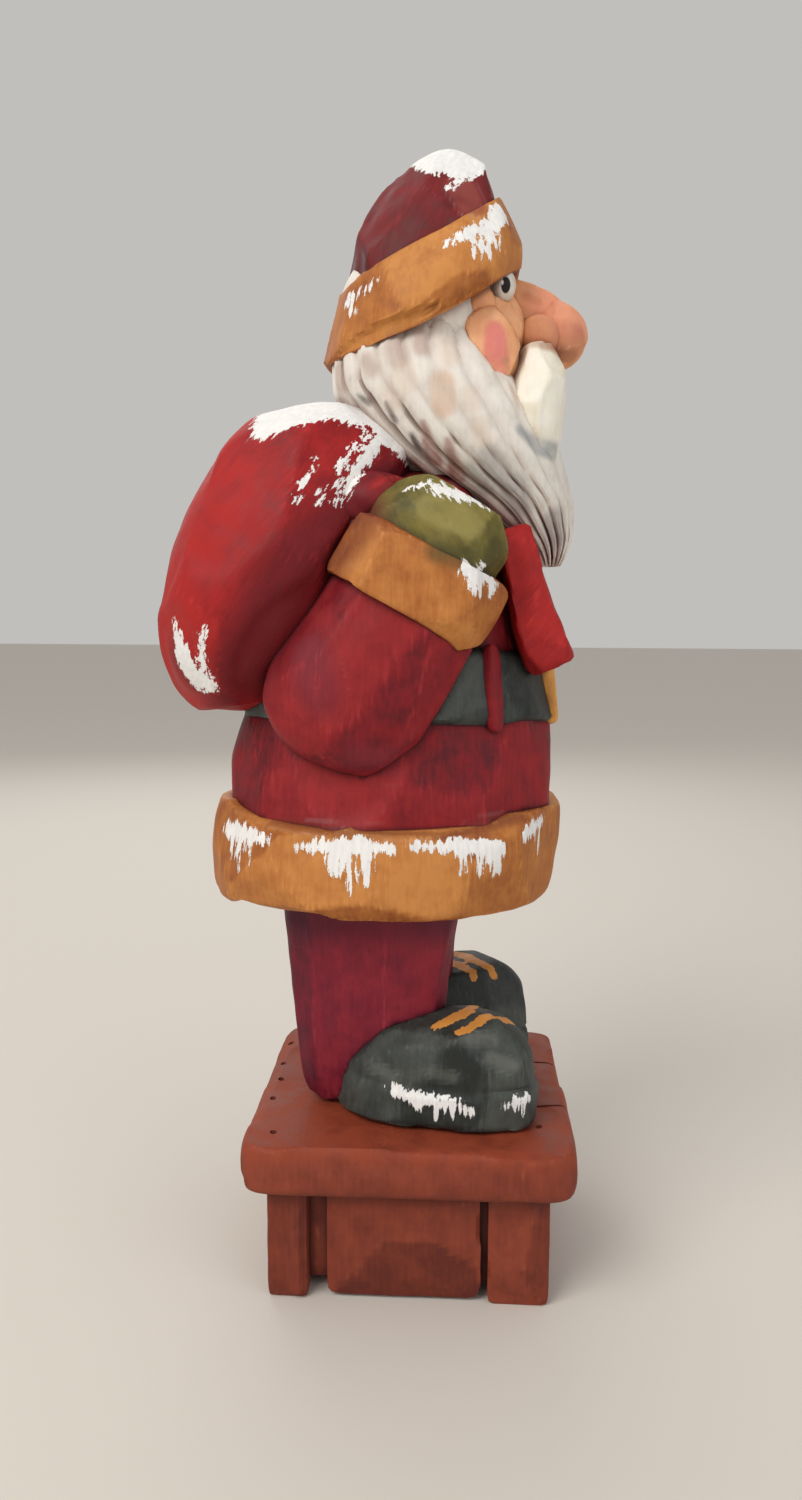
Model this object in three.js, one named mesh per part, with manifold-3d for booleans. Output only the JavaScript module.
// A carved Santa figurine that stands on a crate-shaped plinth of its own.
// Millimetres, +Z up. The figure looks along -Y and its left hand is on +X.
// The origin is the centre of the plinth's underside.
import * as THREE from "three";
import { mergeVertices } from "three/addons/utils/BufferGeometryUtils.js";
import Module from "manifold-3d";

// Plinth: a square slab on a smaller box with corner posts
const SLAB_SIDE = 54;
const SLAB_TOP = 27.7;
const SLAB_THICK = 7.8;
const SLAB_CORNER = 2.4;
const SLAB_BEVEL = 1.6;
const BOX_SIDE = 47;
const POST_WIDTH = 8.6;
const PANEL_SINK = 1.1;
const PANEL_LIFT = 0.6;
const GROOVE_WIDTH = 2.2;
const GROOVE_DEPTH = 2.4;
const REST_GAP = 0.3;

// Figure: heights of the main levels
const SOLE_Z = SLAB_TOP + REST_GAP;
const HEM_BOTTOM = 64.3;
const HEM_TOP = 79.6;
const BELT_BOTTOM = 94.2;
const BELT_TOP = 106.2;
const SHOULDER_Z = 136;

// Figure: the slopes that give the pose, in degrees
const FOREARM_LEAN = 30.5;
const LEFT_ARM_LEAN = 9;
const BAND_LEAN = -25.4;
const BOOT_SPLAY = 12;
const SACK_MOUTH_LEAN = 15.3;

// Small details
const BUCKLE_SIDE = 13.5;
const BUCKLE_FRAME = 2.8;
const BUCKLE_PROUD = 1.8;
const BELT_LOOP_WIDTH = 2.6;
const LOCK_DEPTH = 0.055;
const LOCKS = 14;

const COLOURS = {
  figure: 0x8c2b33,
  base: 0x9c4a31,
};

const wasm = await Module();
wasm.setup();

// Solid from a closed geometry, whose shared corners are merged first.
function solid(geometry) {
  geometry.deleteAttribute("uv");
  geometry.deleteAttribute("normal");
  const merged = mergeVertices(geometry, 1e-4);
  return new wasm.Manifold(
    new wasm.Mesh({
      numProp: 3,
      vertProperties: new Float32Array(merged.attributes.position.array),
      triVerts: new Uint32Array(merged.index.array),
    }),
  );
}

function geometryOf(manifold) {
  const mesh = manifold.getMesh();
  const geometry = new THREE.BufferGeometry();
  geometry.setAttribute("position", new THREE.BufferAttribute(mesh.vertProperties, 3));
  geometry.setIndex(new THREE.BufferAttribute(mesh.triVerts, 1));
  return geometry;
}

// Power of a sine or cosine that keeps its sign, for rounded-square sections.
function boxy(value, squareness) {
  return Math.sign(value) * Math.abs(value) ** (2 / squareness);
}

// A whittled form: sections set along a line, each row of corners turned half a step
// from the row below, so that the surface falls into knife-cut facets.
// A section is [along, back, front, half width], with front towards -Y.
function whittle(sections, { sides = 20, squareness = 2.2, ripple = () => 1 } = {}) {
  const last = sections.length + 1;
  const profile = [];
  for (let row = 0; row <= last; row++) {
    profile.push(new THREE.Vector2(row === 0 || row === last ? 0 : 1, row));
  }
  const geometry = new THREE.LatheGeometry(profile, sides);
  geometry.deleteAttribute("uv");
  geometry.deleteAttribute("normal");
  const merged = mergeVertices(geometry, 1e-4);
  const corners = merged.attributes.position;
  for (let i = 0; i < corners.count; i++) {
    const row = Math.round(corners.getY(i));
    const index = Math.min(Math.max(row - 1, 0), sections.length - 1);
    const [along, back, front, half] = sections[index];
    const reach = Math.hypot(corners.getX(i), corners.getZ(i));
    const turn = Math.atan2(corners.getX(i), corners.getZ(i)) + (row % 2) * (Math.PI / sides);
    const size = reach * ripple(turn, along);
    const x = half * boxy(Math.sin(turn), squareness) * size;
    const forward = (front + back) / 2 + ((front - back) / 2) * boxy(Math.cos(turn), squareness) * size;
    corners.setXYZ(i, x, -forward, along);
  }
  return merged;
}

// A rounded form given by its centre and its three half sizes.
function bulb([x, forward, z], [halfX, halfForward, halfZ], { lean = 0, sides = 12, rows = 7 } = {}) {
  const geometry = new THREE.SphereGeometry(1, sides, rows);
  geometry.rotateX(Math.PI / 2);
  geometry.scale(halfX, halfForward, halfZ);
  return placed(geometry, { lean, at: [x, forward, z] });
}

// Leans a form forward, turns it about the upright, and sets it at [x, forward, z].
function placed(geometry, { lean = 0, splay = 0, roll = 0, at = [0, 0, 0] }) {
  geometry.rotateY(THREE.MathUtils.degToRad(roll));
  geometry.rotateX(THREE.MathUtils.degToRad(lean));
  geometry.rotateZ(THREE.MathUtils.degToRad(splay));
  geometry.translate(at[0], -at[1], at[2]);
  return geometry;
}

function block([sizeX, sizeForward, sizeZ], place) {
  return placed(new THREE.BoxGeometry(sizeX, sizeForward, sizeZ), place);
}

// Coat with its belly, and the fur hem that stands out below it
const coat = whittle(
  [
    [HEM_BOTTOM + 2, -32.6, 22.4, 23],
    [HEM_TOP, -32.4, 23.5, 23.6],
    [84, -31.4, 24, 23.4],
    [90, -30.4, 23.8, 22.6],
    [97, -29, 22.4, 21.2],
    [105, -27, 20.6, 20.4],
    [113, -25, 18.6, 21],
    [121, -22, 16.2, 21.4],
    [128, -18, 13.4, 19],
    [133, -13, 10, 13],
    [SHOULDER_Z, -8, 6, 6],
  ],
  { sides: 26 },
);
const hem = whittle(
  [
    [HEM_BOTTOM, -33.6, 21.4, 22.6],
    [HEM_BOTTOM + 1.6, -36.2, 23.4, 24.9],
    [HEM_BOTTOM + 7, -36.6, 24, 25.6],
    [HEM_TOP - 3, -35.4, 24.8, 25.4],
    [HEM_TOP - 0.6, -33.6, 24.4, 24.4],
    [HEM_TOP + 0.6, -32, 23.2, 23.4],
  ],
  { sides: 30 },
);

// Belt, with the square buckle in front and a loop of coat cloth over it at each side
const belt = whittle(
  [
    [BELT_BOTTOM, -29.4, 23.1, 21.6],
    [BELT_BOTTOM + 0.9, -30, 23.7, 22.3],
    [(BELT_BOTTOM + BELT_TOP) / 2, -29.2, 22.6, 21.8],
    [BELT_TOP - 0.9, -27.8, 21.4, 21.3],
    [BELT_TOP, -27, 20.7, 20.6],
  ],
  { sides: 26 },
);
const BELT_FRONT = 22.4;
const BELT_MIDDLE = (BELT_BOTTOM + BELT_TOP) / 2 - 0.8;
const buckleOutline = new THREE.Shape();
const half = BUCKLE_SIDE / 2;
const corner = 1.5;
buckleOutline.moveTo(-half + corner, -half);
buckleOutline.lineTo(half - corner, -half);
buckleOutline.lineTo(half, -half + corner);
buckleOutline.lineTo(half, half - corner);
buckleOutline.lineTo(half - corner, half);
buckleOutline.lineTo(-half + corner, half);
buckleOutline.lineTo(-half, half - corner);
buckleOutline.lineTo(-half, -half + corner);
buckleOutline.closePath();
const buckle = new THREE.ExtrudeGeometry(buckleOutline, {
  depth: BUCKLE_PROUD + 3,
  bevelEnabled: false,
});
buckle.rotateX(Math.PI / 2);
placed(buckle, { lean: -9, at: [0, BELT_FRONT - 3, BELT_MIDDLE] });
const buckleWindow = block(
  [BUCKLE_SIDE - 2 * BUCKLE_FRAME, BUCKLE_PROUD * 2, BUCKLE_SIDE - 2 * BUCKLE_FRAME],
  { lean: -9, at: [0, BELT_FRONT + BUCKLE_PROUD + 0.6, BELT_MIDDLE] },
);
function beltLoop(side) {
  return block([2.4, BELT_LOOP_WIDTH, BELT_TOP - BELT_BOTTOM + 1.6], {
    splay: side * 38,
    lean: -6,
    at: [side * 18.4, 12.6, (BELT_BOTTOM + BELT_TOP) / 2],
  });
}

// Right arm, bent up so that the fist holds the sack over the shoulder
const RIGHT_ELBOW = [-19.4, -8.7, 100.7];
const rightSleeve = whittle(
  [
    [-13, -4.4, 4.4, 2.8],
    [-11.4, -8.4, 8.4, 5.4],
    [-7.4, -12, 11.6, 7.8],
    [-1, -13.2, 13, 8.8],
    [6, -12.6, 13, 8.9],
    [12, -12, 12.6, 8.6],
    [18, -11.6, 12, 8.2],
  ],
  { sides: 18 },
);
const rightCuff = whittle(
  [
    [12.8, -11.8, 12, 8.4],
    [13.8, -12.6, 13, 9.4],
    [18.6, -12.7, 13, 9.7],
    [23.2, -12, 12.2, 9.4],
    [24.4, -11, 11.2, 8.4],
  ],
  { sides: 18, squareness: 2.5 },
);
const rightMitten = whittle(
  [
    [21, -10.6, 9.6, 7.6],
    [26, -11, 9.8, 7.9],
    [29.6, -10, 8.6, 7.6],
    [32.2, -7.4, 7, 6.4],
    [33.9, -3.4, 5.2, 4],
  ],
  { sides: 16, squareness: 2.6 },
);
for (const part of [rightSleeve, rightCuff, rightMitten]) {
  placed(part, { lean: FOREARM_LEAN, at: RIGHT_ELBOW });
}
function shoulder(side) {
  return bulb([side * 15, -7, 121], [9.4, 12, 13], { sides: 14 });
}

// Left arm, hanging with a slight bend, its mitten at the hip
const LEFT_SHOULDER = [19.6, -6.5, 125.4];
const leftSleeve = whittle(
  [
    [-36, -8.4, 8.4, 6.6],
    [-30, -9, 9, 7.2],
    [-20, -10.4, 9.8, 7.8],
    [-9, -10.6, 10, 7.6],
    [-1, -9.8, 9.6, 7],
    [4, -7.4, 7.4, 5.4],
    [6.8, -3.4, 3.4, 2.6],
  ],
  { sides: 16 },
);
const leftCuff = whittle(
  [
    [-41, -8.2, 8.4, 6.8],
    [-39.8, -9.2, 9.4, 7.8],
    [-34.4, -9.4, 9.6, 7.9],
    [-33.2, -8.6, 8.6, 7],
  ],
  { sides: 16, squareness: 2.5 },
);
const leftMitten = whittle(
  [
    [-53.6, -2.6, 3.4, 2],
    [-52, -5.6, 6, 4],
    [-48, -7, 7.2, 5.4],
    [-43, -7.2, 7.4, 5.8],
    [-38, -6.8, 7, 5.6],
  ],
  { sides: 14, squareness: 2.4 },
);
for (const part of [leftSleeve, leftCuff, leftMitten]) {
  placed(part, { lean: -LEFT_ARM_LEAN, roll: -5, at: LEFT_SHOULDER });
}
const leftThumb = bulb([23.6, 8.6, 84], [3, 3, 5.4], { lean: -14, sides: 10, rows: 6 });

// Sack on the back, its neck over the right shoulder and its flared mouth on the chest
const sack = whittle(
  [
    [94.6, -35.4, -25, 8],
    [96.6, -38.6, -20, 13.6],
    [100.5, -41.4, -16, 17.6],
    [106, -43.1, -12, 20.4],
    [113, -43.3, -8, 21.8],
    [120, -42.1, -5, 22],
    [127, -39.9, -3, 21.2],
    [133.5, -37, -1, 19],
    [139, -33.8, -0.6, 16],
    [143.4, -28.8, -3.6, 12],
    [146.6, -23.4, -8, 7.4],
    [147.8, -18.6, -12.6, 3],
  ],
  { sides: 22, squareness: 2.15 },
);
placed(sack, { at: [-3, 0, 0] });
const sackNeck = bulb([-12.4, -4.4, 129], [8.6, 8.8, 15], { lean: 64, sides: 14, rows: 8 });
const sackMouth = whittle(
  [
    [-23.6, -4.4, 3.8, 6.4],
    [-22.4, -5.6, 4.9, 7.8],
    [-18.6, -5.3, 4.8, 8],
    [-12, -4.3, 3.7, 6.7],
    [-5, -3.6, 2.9, 5.5],
    [0, -3.4, 2.6, 4.7],
    [1.6, -2.6, 1.8, 3.6],
  ],
  { sides: 12, squareness: 3.2 },
);
placed(sackMouth, { lean: -SACK_MOUTH_LEAN, at: [-10.4, 15.4, 124.6] });

// Head, face, and the big moustache
const head = bulb([0, 1, 158], [14.4, 15, 17], { sides: 20, rows: 10 });
const nose = bulb([0, 22.2, 159.3], [6, 5.8, 6.2], { lean: -18, sides: 14, rows: 9 });
const bridge = bulb([0, 16.8, 163.2], [4.2, 5.4, 4.6], { lean: -30, sides: 10, rows: 6 });
const face = bulb([0, 8.4, 157.6], [11.4, 10, 10], { sides: 16, rows: 9 });
function nostril(side) {
  return bulb([side * 4.9, 19.4, 157.4], [2.6, 3.4, 3.2], { sides: 8, rows: 5 });
}
function eye(side) {
  return bulb([side * 8, 13.4, 163.8], [2.6, 2.2, 2.6], { sides: 8, rows: 5 });
}
function cheek(side) {
  return bulb([side * 8.8, 11.6, 154.8], [4.8, 4.8, 7], { lean: -24, sides: 12, rows: 8 });
}
function moustacheSide(side) {
  const drop = whittle(
    [
      [-10.4, -1.2, 1.6, 1],
      [-8.6, -3.2, 3.4, 2.8],
      [-5, -4.6, 4.6, 4.6],
      [0, -5, 4.8, 5.6],
      [4.4, -4.6, 4, 5.4],
      [7.6, -3.2, 2.8, 4],
      [9, -1.4, 1.2, 2],
    ],
    { sides: 12 },
  );
  return placed(drop, { roll: side * -12, lean: 6, at: [side * 5.2, 19.6, 146.4] });
}

// Beard and hair in locks that run down to a point under the chin
const beard = whittle(
  [
    [119.8, 21.4, 23.8, 1.4],
    [122, 19, 25.2, 4.4],
    [125.4, 14.4, 26.5, 8],
    [129.4, 8.6, 26.5, 11.6],
    [134, 0, 25.3, 14.8],
    [139, -7, 23.8, 16.6],
    [144, -11.4, 21.6, 17.2],
    [149, -14, 18.4, 17.4],
    [154, -14.8, 14.6, 17],
    [159, -13.8, 11, 15.8],
    [164, -11.6, 8, 13.8],
  ],
  {
    sides: 42,
    ripple: (turn, along) => 1 + LOCK_DEPTH * Math.cos(LOCKS * turn + 0.12 * (along - 120)),
  },
);

// Fur band of the hat, tipped back and dipping over each ear, with the soft crown in it
const BAND_CENTRE = [0, 0.3, 166.7];
function dipped(geometry, depth) {
  const corners = geometry.attributes.position;
  for (let i = 0; i < corners.count; i++) {
    const outward = Math.min(Math.abs(corners.getX(i)) / 17, 1);
    corners.setZ(i, corners.getZ(i) - depth * outward ** 1.6);
  }
  return geometry;
}
const band = dipped(
  whittle(
    [
      [-6, -18, 14, 15.6],
      [-5, -19.8, 16.2, 17],
      [-1.4, -18.6, 17.4, 17.7],
      [2.4, -16, 17.9, 17.2],
      [5, -13.8, 17.6, 16.2],
      [6, -12, 16.6, 15],
    ],
    { sides: 24 },
  ),
  4.2,
);
const crown = dipped(
  whittle(
    [
      [0, -13, 15.5, 15],
      [5, -11.6, 16.8, 14.8],
      [8, -9.2, 17.1, 13.4],
      [11, -6.4, 16.9, 11.4],
      [13.8, -2.6, 15.8, 8.6],
      [15.9, 2.4, 14.2, 5.4],
      [17.2, 7.2, 12.2, 2.2],
    ],
    { sides: 18 },
  ),
  2.6,
);
for (const part of [band, crown]) {
  placed(part, { lean: BAND_LEAN, at: BAND_CENTRE });
}

// Trouser legs and boots, the toes turned out
function leg(side) {
  const column = whittle(
    [
      [SOLE_Z, -16.4, 3, 5.4],
      [SOLE_Z + 2.6, -18.9, 4.6, 6.5],
      [SOLE_Z + 8, -19.7, 5.6, 6.9],
      [45, -20, 6.2, 7.2],
      [54, -20.6, 6.8, 7.7],
      [HEM_BOTTOM + 6, -22.4, 8.6, 9],
    ],
    { sides: 16, squareness: 2.3 },
  );
  return placed(column, { at: [side * 6.7, 0, 0] });
}
function boot(side) {
  const shape = whittle(
    [
      [SOLE_Z, -14.2, 18, 7.9],
      [SOLE_Z + 1.4, -15, 18.9, 8.7],
      [SOLE_Z + 6, -15, 19, 8.7],
      [SOLE_Z + 7.2, -14.2, 18.1, 8],
      [SOLE_Z + 11, -12.2, 17.4, 7.7],
      [SOLE_Z + 14.6, -8.6, 15.4, 6.7],
      [SOLE_Z + 17.4, -3.6, 12.4, 4.9],
      [SOLE_Z + 18.7, 1, 9.6, 2.4],
    ],
    { sides: 18, squareness: 2.3 },
  );
  return placed(shape, { splay: side * BOOT_SPLAY, at: [side * 9.6, 3, 0] });
}

function carvedFigure() {
  const forms = [
    coat, hem, belt, buckle, beltLoop(-1), beltLoop(1),
    rightSleeve, rightCuff, rightMitten, shoulder(-1), shoulder(1),
    leftSleeve, leftCuff, leftMitten, leftThumb,
    sack, sackNeck, sackMouth,
    head, face, nose, bridge, nostril(-1), nostril(1), cheek(-1), cheek(1), eye(-1), eye(1),
    moustacheSide(-1), moustacheSide(1),
    beard, band, crown,
    leg(-1), leg(1), boot(-1), boot(1),
  ];
  let body = solid(forms[0]);
  for (const form of forms.slice(1)) {
    body = body.add(solid(form));
  }
  return geometryOf(body.subtract(solid(buckleWindow)));
}

// Plinth: the slab is an extruded rounded square, the box has a sunk panel on each side
function slab() {
  const reach = SLAB_SIDE / 2 - SLAB_BEVEL;
  const outline = new THREE.Shape();
  outline.moveTo(-reach + SLAB_CORNER, -reach);
  outline.lineTo(reach - SLAB_CORNER, -reach);
  outline.quadraticCurveTo(reach, -reach, reach, -reach + SLAB_CORNER);
  outline.lineTo(reach, reach - SLAB_CORNER);
  outline.quadraticCurveTo(reach, reach, reach - SLAB_CORNER, reach);
  outline.lineTo(-reach + SLAB_CORNER, reach);
  outline.quadraticCurveTo(-reach, reach, -reach, reach - SLAB_CORNER);
  outline.lineTo(-reach, -reach + SLAB_CORNER);
  outline.quadraticCurveTo(-reach, -reach, -reach + SLAB_CORNER, -reach);
  const geometry = new THREE.ExtrudeGeometry(outline, {
    depth: SLAB_THICK - 2 * SLAB_BEVEL,
    bevelThickness: SLAB_BEVEL,
    bevelSize: SLAB_BEVEL,
    bevelSegments: 2,
    curveSegments: 3,
  });
  geometry.translate(0, 0, SLAB_TOP - SLAB_THICK + SLAB_BEVEL);
  return solid(geometry);
}

function plinth() {
  const boxTop = SLAB_TOP - SLAB_THICK + 1;
  let body = solid(block([BOX_SIDE, BOX_SIDE, boxTop], { at: [0, 0, boxTop / 2] }));
  const panelWidth = BOX_SIDE - 2 * POST_WIDTH;
  for (let quarter = 0; quarter < 4; quarter++) {
    const turned = (geometry) => solid(geometry.rotateZ((quarter * Math.PI) / 2));
    const face = BOX_SIDE / 2;
    body = body.subtract(
      turned(block([panelWidth, 2 * PANEL_SINK, 3 * boxTop], { at: [0, face, 0] })),
    );
    body = body.subtract(
      turned(block([panelWidth, 8, 2 * PANEL_LIFT], { at: [0, face, 0] })),
    );
    for (const side of [-1, 1]) {
      const where = side * (panelWidth / 2 - GROOVE_WIDTH / 2);
      body = body.subtract(
        turned(block([GROOVE_WIDTH, 2 * GROOVE_DEPTH, 3 * boxTop], { at: [where, face, 0] })),
      );
    }
  }
  return geometryOf(body.add(slab()));
}

function carvedWood(name, geometry, colour) {
  const material = new THREE.MeshStandardMaterial({
    color: colour,
    roughness: 0.62,
    metalness: 0,
    flatShading: true,
  });
  const mesh = new THREE.Mesh(geometry, material);
  mesh.name = name;
  return mesh;
}

const figurine = new THREE.Group();
figurine.add(carvedWood("figure", carvedFigure(), COLOURS.figure));
figurine.add(carvedWood("base", plinth(), COLOURS.base));

export default figurine;
